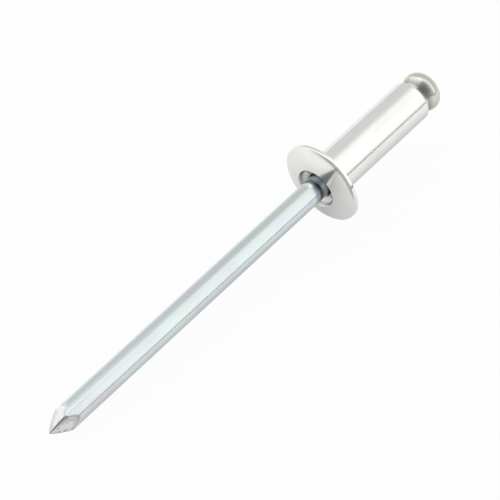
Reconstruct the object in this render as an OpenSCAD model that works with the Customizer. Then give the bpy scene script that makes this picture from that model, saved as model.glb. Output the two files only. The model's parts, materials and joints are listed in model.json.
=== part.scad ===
// Open-end blind rivet: a tubular body with a domed flange, threaded on a headed mandrel.
// Pulling the stem draws the mandrel's head into the blind end and bulges it, until the stem breaks at its notch.
// Millimetres. The rivet lies at rest on z = 0, on its flange and the end of its stem, point towards -X.

/* [Rivet body] */
// Outside diameter of the shank
shank_d = 3.2; // [3:0.05:4]
// Length of the shank, from the flange's underside to the blind end
shank_l = 10.2; // [6:0.1:18]
// Outside diameter of the flange
flange_d = 6.4; // [5.6:0.1:9]
// Height of the flange's straight rim
rim_h = 0.2; // [0.1:0.05:0.5]
// Rise of the flange's dome above its rim
dome_rise = 0.8; // [0.4:0.05:1]
// Width of the recess around the hole in the flange
mouth_flare = 0.65; // [0.35:0.05:0.8]
// Height of the recess's steep wall
mouth_depth = 0.25; // [0.1:0.05:0.4]
// Angle of that wall to the rivet's axis, in degrees
mouth_angle = 30; // [15:1:35]
// Angle of the recess's floor to the rivet's axis, in degrees
ledge_angle = 65; // [55:1:85]
// Rounding of the shank's outer edge at the blind end
end_round = 0.2; // [0.05:0.05:0.3]
// Fillet between the shank and the flange's underside
root_round = 0.15; // [0.05:0.05:0.3]

/* [Mandrel] */
// Diameter of the stem's wire
stem_d = 1.75; // [1.4:0.05:1.9]
// Reach of the stem, from the flange's underside to its point
stem_reach = 27.3; // [22:0.1:40]
// Rise of the head's crown above its widest place
head_rise = 1.03; // [0.9:0.01:1.3]
// Rounding of the head's edge
head_round = 0.8; // [0.5:0.05:0.85]
// Depth of the notch where the stem breaks
notch_depth = 0.22; // [0.1:0.02:0.4]
// Width of the notch at the stem's surface
notch_w = 0.5; // [0.3:0.05:0.8]
// Distance of the notch from the blind end
notch_drop = 1.2; // [0.9:0.1:3]
// Length of the pinched point
point_l = 2.2; // [1.6:0.1:3]
// Swell of each facet of the point beyond a straight cut
point_swell = 0.12; // [0.04:0.02:0.16]
// Width left across the end of the point
point_flat = 0.1; // [0.05:0.05:0.3]
// Turn of the point's facets about the stem, in degrees
point_roll = -24; // [-45:1:45]

/* [Fit] */
// Radial clearance of the stem in the bore
bore_clear = 0.05; // [0.02:0.01:0.1]
// Widening of the bore where the mandrel's head seats
seat_flare = 0.175; // [0.1:0.025:0.3]
// Angle of the seat to the rivet's axis, in degrees
seat_angle = 30; // [25:1:40]
// Clearance between the head and its seat
seat_clear = 0.02; // [0.01:0.01:0.05]
// How far the head's edge stays inside the shank's surface, so that both pass one hole
head_inset = 0.05; // [0.02:0.01:0.15]

/* [Hidden] */
$fn = 128;
arc_steps = 16;
facet_count = 4;
overrun = 0.5;
// Turn of the body about its axis, so that the seam of its round surfaces lies on top, off the ground
seam_turn = 180;

// Body, along its own axis: the flange's underside at 0, the blind end at +shank_l
shank_r = shank_d / 2;
flange_r = flange_d / 2;
stem_r = stem_d / 2;
bore_r = stem_r + bore_clear;
seat_r = bore_r + seat_flare;
seat_depth = seat_flare / tan(seat_angle);
mouth_r = bore_r + mouth_flare;
dome_r = (flange_r ^ 2 + dome_rise ^ 2) / (2 * dome_rise);
dome_centre = dome_r - dome_rise - rim_h;
mouth_z = dome_centre - sqrt(dome_r ^ 2 - mouth_r ^ 2);
ledge_r = mouth_r - mouth_depth * tan(mouth_angle);
ledge_z = mouth_z + mouth_depth;
throat_z = ledge_z + (ledge_r - bore_r) / tan(ledge_angle);

// Head of the mandrel: a cone that fits the seat, a rounded edge and a crown, each tangent to the next
head_r = shank_r - head_inset;
edge_r = head_r - head_round;
cone_top_r = edge_r + head_round * cos(seat_angle);
cone_end_r = seat_r - seat_clear / cos(seat_angle);
cone_top_z = shank_l + (cone_top_r - cone_end_r) / tan(seat_angle);
cone_foot_z = cone_top_z - (cone_top_r - stem_r) / tan(seat_angle);
head_z = cone_top_z + head_round * sin(seat_angle);
crown_drop = (edge_r ^ 2 - (head_rise - head_round) ^ 2) / (2 * (head_rise - head_round));
crown_r = head_rise + crown_drop;
crown_centre = head_z - crown_drop;
crown_turn = atan2(edge_r, crown_drop);
notch_z = shank_l - notch_drop;

// Point: each facet is part of a cylinder whose section is this circle, through the shoulder and the end
shoulder_z = point_l - stem_reach;
facet_in = stem_r - point_flat / 2;
facet_chord = sqrt(facet_in ^ 2 + point_l ^ 2);
facet_r = facet_chord ^ 2 / (8 * point_swell) + point_swell / 2;
facet_back = facet_r - point_swell;
facet_x = stem_r - facet_in / 2 - facet_back * point_l / facet_chord;
facet_z = shoulder_z - point_l / 2 + facet_back * facet_in / facet_chord;

// Rest: the rim's edge touches the ground, and so does the first place that meets it at the end of the stem
facet_step = 360 / facet_count;
rest_tilt = min([for (turn = [-facet_step / 2 : facet_step / 2]) heel_tilt(turn)]);
rest_lift = flange_r * cos(rest_tilt) + rim_h * sin(rest_tilt);
point_reach = stem_reach * cos(rest_tilt);
crown_reach = crown_centre * cos(rest_tilt) + crown_r;

// Points of an arc about [x, z]
function arc(x, z, radius, from, to) = [
    for (i = [0 : arc_steps])
        let (turn = from + (to - from) * i / arc_steps)
            [x + radius * cos(turn), z + radius * sin(turn)]
];

// Angle, on the dome's circle, of the place at this distance from the axis
function dome_turn(radius) = asin(radius / dome_r) - 90;

// Height at which the stem's line at this turn from straight down runs into a facet
function heel_z(turn) =
    let (away = turn - point_roll, off = away - facet_step * round(away / facet_step))
        facet_z - sqrt(facet_r ^ 2 - (stem_r * cos(off) - facet_x) ^ 2);

// Tilt at which that end of the line and the rim's edge are level
function heel_tilt(turn) = atan2(flange_r - stem_r * cos(turn), -heel_z(turn) - rim_h);

body_section = concat(
    [[bore_r, shank_l - seat_depth], [seat_r, shank_l]],
    arc(shank_r - end_round, shank_l - end_round, end_round, 90, 0),
    arc(shank_r + root_round, root_round, root_round, 180, 270),
    [[flange_r, 0]],
    arc(0, dome_centre, dome_r, dome_turn(flange_r), dome_turn(mouth_r)),
    [[ledge_r, ledge_z], [bore_r, throat_z]]
);

mandrel_section = concat(
    arc(0, crown_centre, crown_r, 90, 90 - crown_turn),
    arc(edge_r, head_z, head_round, 90 - crown_turn, -seat_angle),
    [
        [stem_r, cone_foot_z],
        [stem_r, notch_z + notch_w / 2],
        [stem_r - notch_depth, notch_z],
        [stem_r, notch_z - notch_w / 2],
        [stem_r, -stem_reach],
        [0, -stem_reach]
    ]
);

// Turns a standing rivet down to where it comes to rest, with the middle of its length over the origin
module laid_at_rest() {
    translate([(point_reach - crown_reach) / 2, 0, rest_lift])
        rotate([0, 90 - rest_tilt, 0])
            children();
}

// What the pinch takes off one side of the stem's end
module facet_cut() {
    top = min(facet_z, shoulder_z + stem_r);
    bottom = -stem_reach - overrun;
    rotate([90, 0, 0])
        linear_extrude(height = 2 * stem_d, center = true)
            difference() {
                translate([0, bottom])
                    square([stem_d, top - bottom]);
                translate([facet_x, facet_z])
                    circle(r = facet_r);
            }
}

module rivet_body() {
    color("#dcdcda")
        laid_at_rest()
            rotate([0, 0, seam_turn])
                rotate_extrude()
                    polygon(body_section);
}

module mandrel() {
    color("#a9b4b8")
        laid_at_rest()
            difference() {
                rotate_extrude()
                    polygon(mandrel_section);
                for (i = [0 : facet_count - 1])
                    rotate([0, 0, point_roll + i * facet_step])
                        facet_cut();
            }
}

rivet_body();
mandrel();
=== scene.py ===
"""Looks of a blind rivet that lies at rest: a turned body and mandrel, their metals and a studio."""

import json
import math

import bmesh
import bpy
from bpy.props import FloatProperty, FloatVectorProperty, PointerProperty
from mathutils import Matrix, Vector


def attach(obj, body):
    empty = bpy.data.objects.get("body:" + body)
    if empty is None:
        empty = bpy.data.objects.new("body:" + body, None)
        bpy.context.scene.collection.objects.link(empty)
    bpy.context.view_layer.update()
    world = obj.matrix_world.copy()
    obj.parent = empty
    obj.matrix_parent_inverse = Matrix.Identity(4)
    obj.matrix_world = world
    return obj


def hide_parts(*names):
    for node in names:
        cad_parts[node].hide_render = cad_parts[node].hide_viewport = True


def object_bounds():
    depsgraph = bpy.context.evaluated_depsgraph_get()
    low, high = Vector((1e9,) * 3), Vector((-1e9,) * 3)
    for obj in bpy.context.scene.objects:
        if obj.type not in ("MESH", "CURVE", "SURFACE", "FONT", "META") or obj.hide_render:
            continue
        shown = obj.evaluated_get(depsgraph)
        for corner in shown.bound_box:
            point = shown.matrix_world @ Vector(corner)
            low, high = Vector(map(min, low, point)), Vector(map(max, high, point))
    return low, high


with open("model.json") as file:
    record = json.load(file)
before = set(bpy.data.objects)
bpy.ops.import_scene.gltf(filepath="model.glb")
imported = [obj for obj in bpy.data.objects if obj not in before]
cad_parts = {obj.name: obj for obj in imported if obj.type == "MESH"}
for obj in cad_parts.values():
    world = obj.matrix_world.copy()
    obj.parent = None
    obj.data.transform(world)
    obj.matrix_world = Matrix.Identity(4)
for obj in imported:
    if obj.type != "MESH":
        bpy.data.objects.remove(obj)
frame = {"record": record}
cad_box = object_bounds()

bl_info = {
    "name": "Blind Rivet",
    "version": (1, 0, 0),
    "blender": (4, 5, 0),
    "location": "3D View > Sidebar > Rivet",
    "description": "Models an open-end blind rivet on its mandrel, with its metals and a studio",
    "category": "Add Mesh",
}

MM = 0.001
QUARTER_TURN = math.pi / 2
FULL_TURN = 2 * math.pi
WHITE = (1, 1, 1, 1)
PAPER = (0.95, 0.95, 0.95, 1)

# How the names of a mix's sockets end, for colours and for values
MIX_ENDINGS = {"RGBA": "Color", "FLOAT": "Float"}

# How finely the pieces are turned
TURN_STEPS = 192
ARC_STEPS = 24
CORNER_STEPS = 4
FACET_STEPS = 8
FACET_COUNT = 4
RIDGE_CUTS = 3
WELD = 1e-7
SMOOTH_BELOW = math.radians(25)

# Noise in the finishes: waves to the millimetre, each way in the rivet's own frame
SHANK_LINES = (5, 5, 0.12)
STEM_LINES = (6, 6, 0.12)
WARM_CLOUDS = (0.8, 0.8, 0.5)
VIOLET_CLOUDS = (0.5, 0.5, 0.3)
GREEN_CLOUDS = (0.6, 0.6, 0.22)
POINT_SCUFFS = (4, 4, 2)
NOISE_DETAIL = 3

# Noise that makes rings: waves to the millimetre, outwards on the flange and along the axis on the head
FLANGE_RINGS = 9
ROOT_RINGS = 7

# Levels of the noise between which a finish fades in
WARM_LEVELS = (0.45, 0.65)
VIOLET_LEVELS = (0.48, 0.62)
GREEN_LEVELS = (0.5, 0.64)
SCUFF_LEVELS = (0.52, 0.68)
ROOT_LEVELS = (0.3, 0.6)
ROUGH_LEVELS = (0.3, 0.7)

# Where the body's finishes fade in, in millimetres from the edge that the comment names
SHANK_FADE = (-0.05, 0.05)  # along the axis, from the flange's underside
FLANGE_FADE = (0.05, -0.05)  # along the axis, from the flange's underside
# The mouth's recess: painted shade on its wall and near the bore, and a warm tone with painted shade on its
# floor
MOUTH_FADE = (0, -0.05)  # outwards, from the recess's edge
LEDGE_FADE = (0, -0.08)  # outwards, from the foot of the recess's wall
THROAT_SHADE_FADE = (0.08, 0.22)  # outwards, from the bore
# The rim shade is painted shade: a dark line inside the flange's edge, on one side only
RIM_SHADE_INNER = (-0.25, -0.13)  # outwards, from the flange's edge
RIM_SHADE_OUTER = (-0.01, -0.06)  # outwards, from the flange's edge
RIM_SHADE_Y = (1, -1)  # along Y, from the axis
RIM_SHADE_X = (-0.3, -1.3)  # downwards, from the axis

# Where the mandrel's finishes fade in, in the same way
HEAD_FADE = (-0.5, 0)  # along the axis, from the body's blind end
# The head's root: painted shade in the gap between the head and the body's blind end, broken into turned
# rings
ROOT_LOWER = (0.25, 0.36)  # along the axis, from the body's blind end
ROOT_UPPER = (0.67, 0.4)  # along the axis, from the body's blind end
STEM_SHADE_FADE = (-0.35, -0.1)  # along the axis, from the top of the flange's dome
STEM_SHADE_SLANT = 0.5  # rise of the painted shade's border along the axis for each millimetre along Y
POINT_FADE = (0.2, 0)  # along the axis, from the shoulder of the point
FACET_FADE = (-0.01, -0.04)  # outwards, from the stem's surface
BURR_FADE = (-0.15, -0.05)  # outwards, from the stem's surface
WORN_SIDE = (0.3, -0.1)  # along Y, from the axis
RIDGE_FADE = (0.12, 0.04)  # from the ridge between two facets

# Roughness of the finishes, and how strong and how high their marks are
FLANGE_ROUGHNESS = (0.07, 0.12)
SHANK_ROUGHNESS = (0.14, 0.22)
STEM_ROUGHNESS = (0.15, 0.21)
HEAD_ROUGHNESS = 0.2
ROOT_ROUGHNESS = 0.32
FACET_ROUGHNESS = 0.3
ROOT_STRENGTH = (0.7, 1)
MARK_HEIGHT = 0.001 * MM

# Half the width of a softbox's soft edge, in a direction of length 1
SOFT_EDGE = 0.04

# Where the rivet lies: its own axis, and the middle of the flange's underside
mounts = {mount["name"]: mount for mount in frame["record"]["mounts"]}
axis = Vector(mounts["shank"]["axis"]).normalized()
shank_middle = Vector(mounts["shank"]["pos_m"])
bearing_face = Vector(mounts["bearing_face"]["pos_m"])
flange_seat = shank_middle + axis * (bearing_face - shank_middle).dot(axis)
lean = QUARTER_TURN - math.asin(axis.z)


def length(name, description, default):
    """A property that holds a length in metres."""
    return FloatProperty(
        name=name, description=description, default=default, min=0, precision=5, unit="LENGTH"
    )


def angle(name, description, degrees):
    """A property that holds an angle."""
    return FloatProperty(
        name=name, description=description, default=math.radians(degrees), subtype="ANGLE"
    )


def position(name, description, default):
    """A property that holds a place in metres."""
    return FloatVectorProperty(
        name=name, description=description, default=default, precision=5, subtype="TRANSLATION"
    )


def span(name, description, default):
    """A property that holds two ends, in a direction of length 1."""
    return FloatVectorProperty(
        name=name, description=description, default=default, size=2, min=-1, max=1
    )


def share(name, description, default):
    """A property that holds a share from 0 to 1."""
    return FloatProperty(
        name=name, description=description, default=default, min=0, max=1, subtype="FACTOR"
    )


def colour(name, description, default):
    """A property that holds a colour."""
    return FloatVectorProperty(
        name=name, description=description, default=default, size=3, min=0, max=1, subtype="COLOR"
    )


class RivetBodySizes(bpy.types.PropertyGroup):
    """Sizes of the tubular body"""

    shank_d: length("Shank diameter", "Outside of the shank", 2 * MM * mounts["shank"]["dims"]["r_mm"])
    shank_l: length("Shank length", "From the flange's underside to the blind end", 10.2 * MM)
    flange_d: length("Flange diameter", "Outside of the flange", 6.4 * MM)
    rim_h: length("Rim height", "Straight edge of the flange", 0.2 * MM)
    dome_rise: length("Dome rise", "Height of the flange's dome above its rim", 0.8 * MM)
    mouth_flare: length("Mouth flare", "Width of the recess round the hole", 0.65 * MM)
    mouth_depth: length("Mouth depth", "Height of the recess's wall", 0.25 * MM)
    mouth_angle: angle("Mouth angle", "Slope of that wall to the axis", 30)
    ledge_angle: angle("Ledge angle", "Slope of the recess's floor to the axis", 65)
    end_round: length("End rounding", "Outer edge of the blind end", 0.2 * MM)
    root_round: length("Root fillet", "Between the shank and the flange", 0.15 * MM)
    mouth_round: length("Mouth rounding", "Setback of the recess's edge", 0.08 * MM)
    rim_round: length("Rim rounding", "Setback of the edge between the rim and the dome", 0.17 * MM)
    edge_round: length("Edge rounding", "Setback of the other edges", 0.05 * MM)
    bore_clear: length("Bore clearance", "Radial room for the stem in the bore", 0.05 * MM)
    seat_flare: length("Seat flare", "Widening of the bore under the mandrel's head", 0.175 * MM)
    seat_angle: angle("Seat angle", "Slope of the seat to the axis", 30)


class MandrelSizes(bpy.types.PropertyGroup):
    """Sizes of the mandrel"""

    stem_d: length("Stem diameter", "The wire's diameter", 2 * MM * mounts["stem"]["dims"]["r_mm"])
    stem_reach: length("Stem reach", "From the flange's underside to the point", 27.3 * MM)
    head_rise: length("Head rise", "Crown above the head's widest place", 1.03 * MM)
    head_round: length("Head rounding", "Edge of the head", 0.8 * MM)
    head_inset: length("Head inset", "How far the head stays inside the shank's surface", 0.05 * MM)
    seat_clear: length("Seat clearance", "Between the head and its seat", 0.02 * MM)
    notch_depth: length("Notch depth", "Where the stem breaks", 0.22 * MM)
    notch_w: length("Notch width", "At the stem's surface", 0.5 * MM)
    notch_drop: length("Notch place", "Below the blind end", 1.2 * MM)
    point_l: length("Point length", "The pinched end of the stem", 2.2 * MM)
    point_swell: length("Point swell", "Bulge of each facet beyond a straight cut", 0.12 * MM)
    point_flat: length("Point flat", "Width left across the end", 0.1 * MM)
    ridge_share: share("Ridge share", "Rounding of each ridge, as a share of the point's half width", 0.25)
    point_roll: angle("Point roll", "Turn of the facets about the stem", -24)


class RivetFinishes(bpy.types.PropertyGroup):
    """Colours of the two metals, and of the shade painted on them"""

    aluminium: colour("Aluminium", "The body's bare metal", (0.88, 0.875, 0.86))
    warm_aluminium: colour("Warm aluminium", "Faint patches on the body", (0.86, 0.848, 0.81))
    # Mouth shade: painted shade on the recess's wall and near the bore. Ledge tone: a warm tone with painted
    # shade on the recess's floor
    mouth_shade: colour("Mouth stain", "Grey left by the wire on the recess's wall", (0.42, 0.405, 0.4))
    ledge_tone_and_shade: colour("Ledge stain", "The same on the recess's floor", (0.78, 0.76, 0.71))
    # Rim shade: painted shade, a dark line inside the flange's edge on one side
    rim_shade: colour("Rim scuff", "Worn line inside the flange's edge, on one side", (0.45, 0.445, 0.435))
    zinc: colour("Zinc", "Bright plating on the stem", (0.7, 0.766, 0.778))
    violet_zinc: colour("Violet zinc", "Patches of the plating with a violet cast", (0.7, 0.705, 0.757))
    green_zinc: colour("Green zinc", "Patches of the plating with a green cast", (0.685, 0.757, 0.72))
    # Stem mouth shade: painted shade, bluish dark, on the stem where it enters the mouth
    stem_mouth_shade: colour("Grime", "Dark film on the stem where it enters the mouth", (0.36, 0.42, 0.48))
    head_zinc: colour("Head zinc", "Duller plating on the mandrel's head", (0.68, 0.685, 0.625))
    # Head root shade: painted shade where the head tapers into its seat, in the gap next to the body's end
    head_root_shade: colour("Head root", "Bare steel where the head tapers into its seat", (0.36, 0.355, 0.34))
    pinched: colour("Pinched steel", "Fresh metal on the facets of the point", (0.8, 0.81, 0.805))
    # Shear: burr and scuffs on the point, and a painted dark reflection along its ridges
    shear: colour("Shear", "Burr, ridges and scuffs of the point", (0.48, 0.49, 0.49))


class StudioSettings(bpy.types.PropertyGroup):
    """The camera's place and the light"""

    view_azimuth: angle("View azimuth", "Camera's bearing from +X", -138.52)
    view_elevation: angle("View elevation", "Camera's height above the floor", 46.9)
    view_distance: length("View distance", "Camera from its aim", 126.63 * MM)
    view_aim: position("View aim", "Where the camera points", (-0.735 * MM, -0.384 * MM, 3.023 * MM))
    lens: FloatProperty(name="Lens", description="Focal length in millimetres", default=133.2, unit="CAMERA")
    floor_size: length("Floor", "Width of the floor", 3)
    floor_white: share("Floor white", "How far the floor shows as plain white", 0.95)
    floor_mirrored: share("Floor mirrored", "How far it does where metal mirrors it", 0.97)
    # The shade and fade settings paint a shadow along the rivet, and a darkening beyond its point, on the
    # floor as metal mirrors it
    shade_depth: share("Shade depth", "How far the rivet shades the floor that metal mirrors", 0.5)
    shade_reach: length("Shade reach", "Distance over which that shade falls to about a third", 5 * MM)
    tip_narrowing: FloatProperty(
        name="Tip narrowing", description="How much narrower that shade is under the point",
        default=2.5, min=1,
    )
    fade_depth: share("Fade depth", "How far the mirrored floor darkens beyond the point", 0.5)
    fade_reach: length("Fade reach", "Distance over which it does", 80 * MM)
    room_bright: share("Room bright", "Brightness of the pale room", 0.72)
    room_dark: share("Room dark", "Brightness of the dark side, beside the camera", 0.24)
    dark_azimuth: angle("Dark azimuth", "Bearing of the dark side's middle from +X", -158)
    dark_elevation: angle("Dark elevation", "Height of the dark side's middle", 30)
    dark_inner: angle("Dark inner", "Spread of the darkest part from its middle", 25)
    dark_outer: angle("Dark outer", "Spread at which the dark side ends", 65)
    key_glow: share("Key glow", "Brightness that the long softbox adds overhead", 0.42)
    low_glow: share("Low glow", "Brightness that it adds besides at its low end", 0.08)
    key_x: span("Key X", "Reach of the long softbox along X", (0.2, 0.57))
    key_y: span("Key Y", "Where it fades in from the +Y side", (0.42, 0.05))
    low_y: span("Low Y", "Where its low end fades in", (-0.05, -0.7))
    key_z: span("Key Z", "Where it fades in above the floor", (0.05, 0.19))
    gap_depth: share("Gap depth", "How much darker the room is between its low end and the floor", 0.75)
    gap_z: span("Gap Z", "Where that gap fades out upwards", (0.02, 0.085))
    gap_y: span("Gap Y", "Where that gap fades in towards -Y", (-0.5, -0.8))
    fill_glow: share("Fill glow", "Brightness that the wide softbox on the +Y side adds", 0.5)
    fill_x: span("Fill X", "Reach of the wide softbox along X", (-0.65, 0.18))
    fill_y: span("Fill Y", "Where it fades in towards +Y", (0.05, 0.2))
    fill_z: span("Fill Z", "Its reach upwards", (0.12, 1))
    top_glow: share("Top glow", "Brightness that the softbox straight above adds", 0.6)
    top_x: span("Top X", "Reach of that softbox along X", (-0.05, 0.2))
    top_y: span("Top Y", "Its reach along Y", (-0.1, 0.6))
    top_z: span("Top Z", "Its reach upwards", (0.72, 1))


class Section:
    """Half the outline of a turned piece, drawn in edit mode with the axis along Z, then spun round it."""

    def __init__(self, name, radius, height):
        bpy.ops.object.select_all(action="DESELECT")
        bpy.ops.mesh.primitive_plane_add(size=MM)
        self.piece = bpy.context.object
        self.piece.name = name
        self.piece.data.name = name
        bpy.ops.object.mode_set(mode="EDIT")
        bpy.ops.mesh.select_all(action="SELECT")
        bpy.ops.mesh.merge(type="CENTER")
        self.pen = Vector((radius, 0, height))
        bpy.ops.transform.translate(value=self.pen)

    def line(self, radius, height):
        """Draws straight on to this place."""
        end = Vector((radius, 0, height))
        bpy.ops.mesh.extrude_vertices_move(TRANSFORM_OT_translate={"value": end - self.pen})
        self.pen = end

    def arc(self, radius, height, turn):
        """Swings the pen about this centre. A positive turn goes from outwards to upwards."""
        centre = Vector((radius, 0, height))
        bpy.ops.mesh.spin(steps=ARC_STEPS, angle=turn, center=centre, axis=(0, 1, 0))
        self.pen = centre + Matrix.Rotation(turn, 3, (0, -1, 0)) @ (self.pen - centre)

    def round_corner(self, radius, height, setback):
        """Rounds the corner drawn at this place."""
        corner = Vector((radius, 0, height))
        bpy.ops.mesh.select_all(action="DESELECT")
        mesh = bmesh.from_edit_mesh(self.piece.data)
        nearest = min(mesh.verts, key=lambda vert: (vert.co - corner).length)
        nearest.select_set(True)
        bpy.ops.mesh.bevel(offset=setback, segments=CORNER_STEPS, affect="VERTICES")

    def spin(self):
        """Turns the outline into a closed piece, and leaves it in edit mode."""
        bpy.ops.mesh.select_all(action="SELECT")
        bpy.ops.mesh.remove_doubles(threshold=WELD)
        bpy.ops.mesh.spin(steps=TURN_STEPS, angle=FULL_TURN, center=(0, 0, 0), axis=(0, 0, 1))
        weld()
        return self.piece


def weld():
    """Merges what lies together in the piece in edit mode, and turns its faces outwards."""
    bpy.ops.mesh.select_all(action="SELECT")
    bpy.ops.mesh.remove_doubles(threshold=WELD)
    bpy.ops.mesh.select_all(action="SELECT")
    bpy.ops.mesh.normals_make_consistent(inside=False)


def lay_at_rest(piece):
    """Turns a standing piece down to where the rivet lies, with its place in its mesh."""
    bpy.ops.object.mode_set(mode="OBJECT")
    piece.rotation_euler = (0, lean, 0)
    piece.location = flange_seat
    bpy.ops.object.transform_apply(location=True, rotation=True, scale=True)
    bpy.ops.object.shade_smooth_by_angle(angle=SMOOTH_BELOW)
    evened = piece.modifiers.new("Even normals", "WEIGHTED_NORMAL")
    evened.keep_sharp = True
    bpy.ops.object.modifier_apply(modifier=evened.name)


def body_outline(body, stem_r):
    """The body's section, with the flange's underside at 0 and the blind end up."""
    shank_r = body.shank_d / 2
    flange_r = body.flange_d / 2
    bore_r = stem_r + body.bore_clear
    seat_r = bore_r + body.seat_flare
    seat_z = body.shank_l - body.seat_flare / math.tan(body.seat_angle)
    mouth_r = bore_r + body.mouth_flare
    dome_r = (flange_r ** 2 + body.dome_rise ** 2) / (2 * body.dome_rise)
    dome_z = dome_r - body.dome_rise - body.rim_h
    mouth_z = dome_z - math.sqrt(dome_r ** 2 - mouth_r ** 2)
    ledge_r = mouth_r - body.mouth_depth * math.tan(body.mouth_angle)
    ledge_z = mouth_z + body.mouth_depth
    throat_z = ledge_z + (ledge_r - bore_r) / math.tan(body.ledge_angle)

    outline = Section("rivet_body_turned", bore_r, seat_z)
    outline.line(seat_r, body.shank_l)
    outline.line(shank_r - body.end_round, body.shank_l)
    outline.arc(shank_r - body.end_round, body.shank_l - body.end_round, -QUARTER_TURN)
    outline.line(shank_r, body.root_round)
    outline.arc(shank_r + body.root_round, body.root_round, QUARTER_TURN)
    outline.line(flange_r, 0)
    outline.line(flange_r, -body.rim_h)
    outline.arc(0, dome_z, math.asin(mouth_r / dome_r) - math.asin(flange_r / dome_r))
    outline.line(ledge_r, ledge_z)
    outline.line(bore_r, throat_z)
    outline.line(bore_r, seat_z)
    outline.round_corner(flange_r, -body.rim_h, body.rim_round)
    outline.round_corner(mouth_r, mouth_z, body.mouth_round)
    for radius, height in [(seat_r, body.shank_l), (flange_r, 0), (ledge_r, ledge_z), (bore_r, throat_z)]:
        outline.round_corner(radius, height, body.edge_round)
    return outline


def mandrel_outline(mandrel, body):
    """The mandrel's section before its end is pinched, with the head up."""
    stem_r = mandrel.stem_d / 2
    seat_r = stem_r + body.bore_clear + body.seat_flare
    head_r = body.shank_d / 2 - mandrel.head_inset
    edge_r = head_r - mandrel.head_round
    slope = math.tan(body.seat_angle)
    cone_top_r = edge_r + mandrel.head_round * math.cos(body.seat_angle)
    cone_end_r = seat_r - mandrel.seat_clear / math.cos(body.seat_angle)
    cone_top_z = body.shank_l + (cone_top_r - cone_end_r) / slope
    cone_foot_z = cone_top_z - (cone_top_r - stem_r) / slope
    head_z = cone_top_z + mandrel.head_round * math.sin(body.seat_angle)
    crown_over = mandrel.head_rise - mandrel.head_round
    crown_drop = (edge_r ** 2 - crown_over ** 2) / (2 * crown_over)
    crown_z = head_z - crown_drop
    crown_turn = math.atan2(edge_r, crown_drop)
    notch_z = body.shank_l - mandrel.notch_drop

    outline = Section("mandrel_drawn", 0, crown_z + crown_drop + mandrel.head_rise)
    outline.arc(0, crown_z, -crown_turn)
    outline.arc(edge_r, head_z, crown_turn - QUARTER_TURN - body.seat_angle)
    outline.line(stem_r, cone_foot_z)
    outline.line(stem_r, notch_z + mandrel.notch_w / 2)
    outline.line(stem_r - mandrel.notch_depth, notch_z)
    outline.line(stem_r, notch_z - mandrel.notch_w / 2)
    outline.line(stem_r, -mandrel.stem_reach)
    outline.line(0, -mandrel.stem_reach)
    return outline


def pinch_point(mandrel):
    """Cuts the stem's end to a point: facets that follow a shallow arc, with rounded ridges between them."""
    stem_r = mandrel.stem_d / 2
    shoulder_z = mandrel.point_l - mandrel.stem_reach
    facet_in = stem_r - mandrel.point_flat / 2
    chord = math.hypot(facet_in, mandrel.point_l)
    facet_r = chord ** 2 / (8 * mandrel.point_swell) + mandrel.point_swell / 2
    back = facet_r - mandrel.point_swell
    centre = Vector((
        stem_r - facet_in / 2 - back * mandrel.point_l / chord,
        shoulder_z - mandrel.point_l / 2 + back * facet_in / chord,
    ))
    start = math.atan2(shoulder_z - centre.y, stem_r - centre.x)
    end = math.atan2(-mandrel.stem_reach - centre.y, mandrel.point_flat / 2 - centre.x)
    facet = []
    for step in range(FACET_STEPS + 1):
        turn = start + (end - start) * step / FACET_STEPS
        facet.append(centre + facet_r * Vector((math.cos(turn), math.sin(turn))))
    for side in range(FACET_COUNT):
        roll = mandrel.point_roll + side * FULL_TURN / FACET_COUNT
        for cut in range(RIDGE_CUTS + 1):
            turn = cut * QUARTER_TURN / (RIDGE_CUTS + 1)
            sharp = math.cos(turn) + math.sin(turn)
            reach = sharp + mandrel.ridge_share * (1 - sharp)
            cut_away([Vector((spot.x * reach, spot.y)) for spot in facet], roll + turn)
    weld()


def cut_away(line, roll):
    """Cuts away what lies outside this line of radius and height, on the side at this roll."""
    outwards = Vector((math.cos(roll), math.sin(roll), 0))
    for first, second in zip(line, line[1:]):
        along = (second - first).normalized()
        bpy.ops.mesh.select_all(action="SELECT")
        bpy.ops.mesh.bisect(
            plane_co=outwards * first.x + Vector((0, 0, first.y)),
            plane_no=outwards * -along.y + Vector((0, 0, along.x)),
            use_fill=True, clear_outer=True, threshold=WELD,
        )


def feed(tree, socket, value):
    """Links a value to a socket where it comes from a node, and otherwise sets it there."""
    if isinstance(value, bpy.types.NodeSocket):
        tree.links.new(value, socket)
    else:
        socket.default_value = value


def add_node(tree, kind, inputs=None, **settings):
    """A shader node with its settings, and its inputs set or linked."""
    node = tree.nodes.new(kind)
    for name, value in settings.items():
        setattr(node, name, value)
    for name, value in (inputs or {}).items():
        feed(tree, node.inputs[name], value)
    return node


def maths(tree, operation, first, *others):
    """The values joined by this operation, one after another, or one value changed by it."""
    if not others:
        return add_node(tree, "ShaderNodeMath", {0: first}, operation=operation).outputs[0]
    total = first
    for value in others:
        total = add_node(tree, "ShaderNodeMath", {0: total, 1: value}, operation=operation).outputs[0]
    return total


def product(tree, *values):
    """The values multiplied."""
    return maths(tree, "MULTIPLY", *values)


def ramp(tree, value, ends, results=(0, 1)):
    """The value carried from one range to another, and held at its ends."""
    inputs = {
        "Value": value, "From Min": ends[0], "From Max": ends[1], "To Min": results[0], "To Max": results[1],
    }
    return add_node(tree, "ShaderNodeMapRange", inputs).outputs["Result"]


def beside(edge, offsets):
    """Places that lie this far from an edge."""
    return [edge + offset for offset in offsets]


def mix(tree, kind, factor, first, second):
    """Two colours or two values mixed."""
    node = add_node(tree, "ShaderNodeMix", data_type=kind)
    ending = MIX_ENDINGS[kind]
    sockets = {socket.identifier: socket for socket in node.inputs}
    feed(tree, sockets["Factor_Float"], factor)
    feed(tree, sockets["A_" + ending], first)
    feed(tree, sockets["B_" + ending], second)
    return next(socket for socket in node.outputs if socket.identifier == "Result_" + ending)


def opaque(tint):
    """A colour with no part of it see-through."""
    return (*tint, 1)


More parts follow.
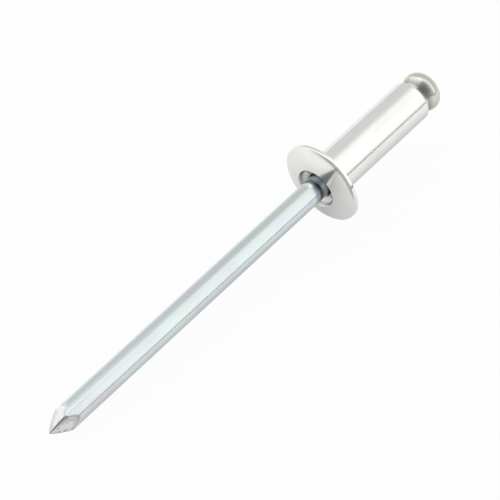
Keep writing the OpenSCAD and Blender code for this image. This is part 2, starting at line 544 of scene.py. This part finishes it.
def coordinates(tree, spot):
    """A spot's three coordinates."""
    return add_node(tree, "ShaderNodeSeparateXYZ", {0: spot}).outputs


def distance(tree, first, second):
    """The length of a line that reaches this far one way and this far square to it."""
    line = add_node(tree, "ShaderNodeCombineXYZ", {0: first, 1: second}).outputs[0]
    return add_node(tree, "ShaderNodeVectorMath", {0: line}, operation="LENGTH").outputs["Value"]


def rivet_place(tree):
    """Millimetres in the rivet's own frame: its axis along Z, the flange's underside at 0."""
    spot = add_node(tree, "ShaderNodeTexCoord").outputs["Object"]
    inputs = {"Vector": spot, "Location": flange_seat, "Rotation": (0, lean, 0), "Scale": (MM, MM, MM)}
    return add_node(tree, "ShaderNodeMapping", inputs, vector_type="TEXTURE").outputs["Vector"]


def from_ridge(tree, spot, roll):
    """How far a spot on the point lies from the nearest ridge between two facets, in millimetres."""
    turned = add_node(
        tree, "ShaderNodeVectorRotate", {"Vector": spot, "Angle": -roll}, rotation_type="Z_AXIS"
    )
    x, y, _ = coordinates(tree, turned.outputs[0])
    apart = maths(tree, "SUBTRACT", maths(tree, "ABSOLUTE", x), maths(tree, "ABSOLUTE", y))
    return maths(tree, "ABSOLUTE", apart)


def noise(tree, spot, waves):
    """Noise over the rivet, at so many waves to the millimetre each way."""
    scaled = add_node(tree, "ShaderNodeVectorMath", {0: spot, 1: waves}, operation="MULTIPLY")
    inputs = {"Vector": scaled.outputs["Vector"], "Scale": 1, "Detail": NOISE_DETAIL}
    return add_node(tree, "ShaderNodeTexNoise", inputs).outputs["Fac"]


def ring_noise(tree, value, waves):
    """Noise that changes with one value alone, at so many waves to the millimetre."""
    line = add_node(tree, "ShaderNodeCombineXYZ", {0: value}).outputs[0]
    return noise(tree, line, (waves, 1, 1))


def bump(tree, height):
    """A normal roughened by this height."""
    return add_node(tree, "ShaderNodeBump", {"Height": height, "Distance": MARK_HEIGHT}).outputs["Normal"]


def new_metal(name):
    """A metal's material, its node tree, and its shader."""
    material = bpy.data.materials.new(name)
    material.use_nodes = True
    tree = material.node_tree
    shader = tree.nodes["Principled BSDF"]
    shader.inputs["Metallic"].default_value = 1
    return material, tree, shader


def rivet_aluminium(finishes, body, mandrel):
    """Bright aluminium: lines along the shank, a satin flange with turned rings, painted shade in the
    mouth's recess and along one side of the rim.
    """
    material, tree, shader = new_metal("rivet_aluminium")
    spot = rivet_place(tree)
    x, y, height = coordinates(tree, spot)
    radius = distance(tree, x, y)
    rim_r = body.flange_d / MM / 2
    bore_r = (mandrel.stem_d / 2 + body.bore_clear) / MM
    mouth_r = bore_r + body.mouth_flare / MM
    ledge_r = mouth_r - body.mouth_depth * math.tan(body.mouth_angle) / MM
    on_shank = ramp(tree, height, SHANK_FADE)
    on_flange = ramp(tree, height, FLANGE_FADE)
    # Painted shade in the mouth's recess: darkest on its wall and near the bore, lighter and warmer on its
    # floor
    shaded_in_mouth = product(tree, on_flange, ramp(tree, radius, beside(mouth_r, MOUTH_FADE)))
    on_ledge = product(
        tree,
        ramp(tree, radius, beside(ledge_r, LEDGE_FADE)), ramp(tree, radius, beside(bore_r, THROAT_SHADE_FADE)),
    )
    # Painted shade: a dark line inside the flange's edge, on one side
    shaded_rim = product(
        tree, on_flange,
        ramp(tree, radius, beside(rim_r, RIM_SHADE_INNER)),
        ramp(tree, radius, beside(rim_r, RIM_SHADE_OUTER)),
        ramp(tree, y, RIM_SHADE_Y), ramp(tree, x, RIM_SHADE_X),
    )

    warm = ramp(tree, noise(tree, spot, WARM_CLOUDS), WARM_LEVELS)
    tint = mix(tree, "RGBA", warm, opaque(finishes.aluminium), opaque(finishes.warm_aluminium))
    recess_shade = mix(tree, "RGBA", on_ledge, opaque(finishes.mouth_shade), opaque(finishes.ledge_tone_and_shade))
    tint = mix(tree, "RGBA", shaded_in_mouth, tint, recess_shade)
    tint = mix(tree, "RGBA", shaded_rim, tint, opaque(finishes.rim_shade))
    feed(tree, shader.inputs["Base Color"], tint)

    drawn = noise(tree, spot, SHANK_LINES)
    rings = ring_noise(tree, radius, FLANGE_RINGS)
    satin = ramp(tree, rings, ROUGH_LEVELS, FLANGE_ROUGHNESS)
    bright = ramp(tree, drawn, ROUGH_LEVELS, SHANK_ROUGHNESS)
    feed(tree, shader.inputs["Roughness"], mix(tree, "FLOAT", on_shank, satin, bright))
    marks = mix(tree, "FLOAT", on_shank, rings, drawn)
    feed(tree, shader.inputs["Normal"], bump(tree, marks))
    return material


def mandrel_steel(finishes, body, mandrel):
    """Zinc-plated steel wire: lines along the stem, a duller head, fresh metal on the point, and painted
    shade where the stem enters the mouth and at the head's root.
    """
    material, tree, shader = new_metal("mandrel_steel")
    spot = rivet_place(tree)
    x, y, height = coordinates(tree, spot)
    radius = distance(tree, x, y)
    blind_end = body.shank_l / MM
    dome_top = -(body.dome_rise + body.rim_h) / MM
    stem_r = mandrel.stem_d / MM / 2
    shoulder = (mandrel.point_l - mandrel.stem_reach) / MM

    # Painted shade on the stem where it enters the mouth, with a slanted border
    slanted = maths(tree, "SUBTRACT", height, product(tree, y, STEM_SHADE_SLANT))
    shaded_in_mouth = ramp(tree, slanted, beside(dome_top, STEM_SHADE_FADE))
    on_head = ramp(tree, height, beside(blind_end, HEAD_FADE))
    # Painted shade round the head's root, in rings
    at_shaded_root = product(
        tree,
        ramp(tree, height, beside(blind_end, ROOT_LOWER)), ramp(tree, height, beside(blind_end, ROOT_UPPER)),
        ramp(tree, ring_noise(tree, height, ROOT_RINGS), ROOT_LEVELS, ROOT_STRENGTH),
    )
    on_facet = product(
        tree,
        ramp(tree, height, beside(shoulder, POINT_FADE)), ramp(tree, radius, beside(stem_r, FACET_FADE)),
    )
    burr = ramp(tree, radius, beside(stem_r, BURR_FADE))
    scuffs = ramp(tree, noise(tree, spot, POINT_SCUFFS), SCUFF_LEVELS)
    worn = product(tree, ramp(tree, y, WORN_SIDE), maths(tree, "MAXIMUM", burr, scuffs))
    # Painted dark reflection along the ridges between the facets, joined with the real shear marks
    ridge_shade = ramp(tree, from_ridge(tree, spot, mandrel.point_roll), RIDGE_FADE)
    marks_and_ridge_shade = product(tree, on_facet, maths(tree, "MAXIMUM", ridge_shade, worn))

    layers = [
        (ramp(tree, noise(tree, spot, VIOLET_CLOUDS), VIOLET_LEVELS), finishes.violet_zinc),
        (ramp(tree, noise(tree, spot, GREEN_CLOUDS), GREEN_LEVELS), finishes.green_zinc),
        (shaded_in_mouth, finishes.stem_mouth_shade),
        (on_head, finishes.head_zinc),
        (at_shaded_root, finishes.head_root_shade),
        (on_facet, finishes.pinched),
        (marks_and_ridge_shade, finishes.shear),
    ]
    tint = opaque(finishes.zinc)
    for where, finish in layers:
        tint = mix(tree, "RGBA", where, tint, opaque(finish))
    feed(tree, shader.inputs["Base Color"], tint)

    drawn = noise(tree, spot, STEM_LINES)
    rough = ramp(tree, drawn, ROUGH_LEVELS, STEM_ROUGHNESS)
    rougher = [(on_head, HEAD_ROUGHNESS), (at_shaded_root, ROOT_ROUGHNESS), (on_facet, FACET_ROUGHNESS)]
    for where, roughness in rougher:
        rough = mix(tree, "FLOAT", where, rough, roughness)
    feed(tree, shader.inputs["Roughness"], rough)
    feed(tree, shader.inputs["Normal"], bump(tree, drawn))
    return material


def dress(piece, material, node):
    """Gives a finished piece its metal, hangs it under the root body, and hides the solid that it stands
    for.
    """
    piece.data.materials.clear()
    piece.data.materials.append(material)
    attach(piece, "root")
    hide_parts(node)


class RivetBodyOperator(bpy.types.Operator):
    """Turn the rivet's tubular body"""

    bl_idname = "rivet.body"
    bl_label = "Rivet body"

    def execute(self, context):
        body = context.scene.rivet_body
        mandrel = context.scene.rivet_mandrel
        piece = body_outline(body, mandrel.stem_d / 2).spin()
        lay_at_rest(piece)
        aluminium = rivet_aluminium(context.scene.rivet_finishes, body, mandrel)
        dress(piece, aluminium, "rivet_body")
        return {"FINISHED"}


class RivetMandrelOperator(bpy.types.Operator):
    """Draw the mandrel and pinch its point"""

    bl_idname = "rivet.mandrel"
    bl_label = "Mandrel"

    def execute(self, context):
        body = context.scene.rivet_body
        mandrel = context.scene.rivet_mandrel
        piece = mandrel_outline(mandrel, body).spin()
        pinch_point(mandrel)
        lay_at_rest(piece)
        steel = mandrel_steel(context.scene.rivet_finishes, body, mandrel)
        dress(piece, steel, "mandrel")
        return {"FINISHED"}


def mirrored_floor(tree, studio):
    """How bright metal shows the floor: a painted shadow along the rivet, and painted darkening towards the
    room's dark side.
    """
    half_l = (cad_box[1].x - cad_box[0].x) / 2
    x, y, _ = coordinates(tree, add_node(tree, "ShaderNodeTexCoord").outputs["Object"])
    past_end = maths(tree, "MAXIMUM", maths(tree, "SUBTRACT", maths(tree, "ABSOLUTE", x), half_l), 0)
    narrowing = ramp(tree, x, (-half_l, 0), (studio.tip_narrowing, 1))
    away = product(tree, distance(tree, past_end, y), narrowing)
    painted_shadow = maths(tree, "EXPONENT", maths(tree, "DIVIDE", away, -studio.shade_reach))
    unshaded = maths(tree, "SUBTRACT", 1, product(tree, painted_shadow, studio.shade_depth))
    fade = ramp(tree, x, (-half_l, -half_l - studio.fade_reach), (1, 1 - studio.fade_depth))
    return product(tree, unshaded, fade)


def floor_white(studio):
    """A white floor that keeps the rivet's shadow, and that metal shows too, with a painted shadow added."""
    material = bpy.data.materials.new("floor_white")
    material.use_nodes = True
    tree = material.node_tree
    tree.nodes.clear()
    path = add_node(tree, "ShaderNodeLightPath").outputs
    mirrored = maths(tree, "MAXIMUM", path["Is Glossy Ray"], path["Is Transmission Ray"])
    shown = maths(
        tree, "MAXIMUM",
        product(tree, path["Is Camera Ray"], studio.floor_white),
        product(tree, mirrored, studio.floor_mirrored),
    )
    paper = add_node(tree, "ShaderNodeBsdfDiffuse", {"Color": PAPER})
    strength = maths(tree, "MAXIMUM", path["Is Camera Ray"], mirrored_floor(tree, studio))
    glow = add_node(tree, "ShaderNodeEmission", {"Color": WHITE, "Strength": strength})
    mixed = add_node(tree, "ShaderNodeMixShader", {0: shown, 1: paper.outputs[0], 2: glow.outputs[0]})
    add_node(tree, "ShaderNodeOutputMaterial", {"Surface": mixed.outputs[0]})
    return material


def bearing(azimuth, elevation):
    """The direction at this bearing from +X and this height above the floor."""
    level = math.cos(elevation)
    return Vector((level * math.cos(azimuth), level * math.sin(azimuth), math.sin(elevation)))


def window(tree, value, ends):
    """1 where the value lies between these ends, with soft edges."""
    low, high = ends
    rising = ramp(tree, value, (low - SOFT_EDGE, low + SOFT_EDGE))
    falling = ramp(tree, value, (high + SOFT_EDGE, high - SOFT_EDGE))
    return product(tree, rising, falling)


def light_room(studio):
    """The room: pale all round, dark on one side, and with a long, a wide and a top softbox."""
    world = bpy.data.worlds.new("room")
    bpy.context.scene.world = world
    world.use_nodes = True
    tree = world.node_tree
    tree.nodes.clear()
    direction = add_node(tree, "ShaderNodeTexCoord").outputs["Generated"]
    x, y, z = coordinates(tree, direction)

    dark_side = bearing(studio.dark_azimuth, studio.dark_elevation)
    towards = add_node(tree, "ShaderNodeVectorMath", {0: direction, 1: dark_side}, operation="DOT_PRODUCT")
    spread = (math.cos(studio.dark_outer), math.cos(studio.dark_inner))
    room = ramp(tree, towards.outputs["Value"], spread, (studio.room_bright, studio.room_dark))

    overhead = ramp(tree, y, studio.key_y, (0, studio.key_glow))
    low_end = ramp(tree, y, studio.low_y, (0, studio.low_glow))
    key = product(
        tree,
        maths(tree, "ADD", overhead, low_end), window(tree, x, studio.key_x), ramp(tree, z, studio.key_z),
    )
    gap = product(tree, ramp(tree, z, studio.gap_z, (studio.gap_depth, 0)), ramp(tree, y, studio.gap_y))
    fill = product(
        tree,
        ramp(tree, y, studio.fill_y, (0, studio.fill_glow)),
        window(tree, x, studio.fill_x), window(tree, z, studio.fill_z),
    )
    top = product(
        tree,
        window(tree, x, studio.top_x), window(tree, y, studio.top_y), window(tree, z, studio.top_z),
        studio.top_glow,
    )
    glow = maths(tree, "SUBTRACT", maths(tree, "ADD", room, key, fill, top), gap)
    background = add_node(tree, "ShaderNodeBackground", {"Color": WHITE, "Strength": glow})
    add_node(tree, "ShaderNodeOutputWorld", {"Surface": background.outputs[0]})


class RivetStageOperator(bpy.types.Operator):
    """Set up the floor, the light and the camera"""

    bl_idname = "rivet.stage"
    bl_label = "Stage"

    def execute(self, context):
        studio = context.scene.rivet_studio
        context.scene.view_settings.view_transform = "Standard"
        bpy.ops.object.select_all(action="DESELECT")
        bpy.ops.mesh.primitive_plane_add(size=studio.floor_size, location=(0, 0, cad_box[0].z))
        floor = context.object
        floor.name = "floor"
        floor.data.materials.append(floor_white(studio))

        light_room(studio)

        aim = Vector(studio.view_aim)
        back = bearing(studio.view_azimuth, studio.view_elevation)
        bpy.ops.object.camera_add(location=aim + back * studio.view_distance)
        camera = context.object
        camera.rotation_euler = (-back).to_track_quat("-Z", "Y").to_euler()
        camera.data.lens = studio.lens
        camera.data.clip_start = MM
        context.scene.camera = camera
        return {"FINISHED"}


class RivetPanel(bpy.types.Panel):
    """Steps, sizes, finishes and studio of the rivet"""

    bl_idname = "VIEW3D_PT_rivet"
    bl_label = "Blind rivet"
    bl_space_type = "VIEW_3D"
    bl_region_type = "UI"
    bl_category = "Rivet"

    def draw(self, context):
        for step in STEPS:
            self.layout.operator(step.bl_idname)
        for name, kind in SETTINGS.items():
            group = getattr(context.scene, name)
            box = self.layout.box()
            box.label(text=kind.__doc__)
            for setting in kind.__annotations__:
                box.prop(group, setting)


STEPS = [RivetStageOperator, RivetBodyOperator, RivetMandrelOperator]
SETTINGS = {
    "rivet_body": RivetBodySizes,
    "rivet_mandrel": MandrelSizes,
    "rivet_finishes": RivetFinishes,
    "rivet_studio": StudioSettings,
}
CLASSES = [*SETTINGS.values(), *STEPS, RivetPanel]


def register():
    """Makes the settings, the steps and the panel known to Blender."""
    for kind in CLASSES:
        bpy.utils.register_class(kind)
    for name, kind in SETTINGS.items():
        setattr(bpy.types.Scene, name, PointerProperty(type=kind))


def unregister():
    """Takes them away again."""
    for name in SETTINGS:
        delattr(bpy.types.Scene, name)
    for kind in reversed(CLASSES):
        bpy.utils.unregister_class(kind)


def main():
    """Makes the stage and the rivet."""
    register()
    bpy.ops.rivet.stage()
    bpy.ops.rivet.body()
    bpy.ops.rivet.mandrel()


if __name__ == "__main__":
    main()
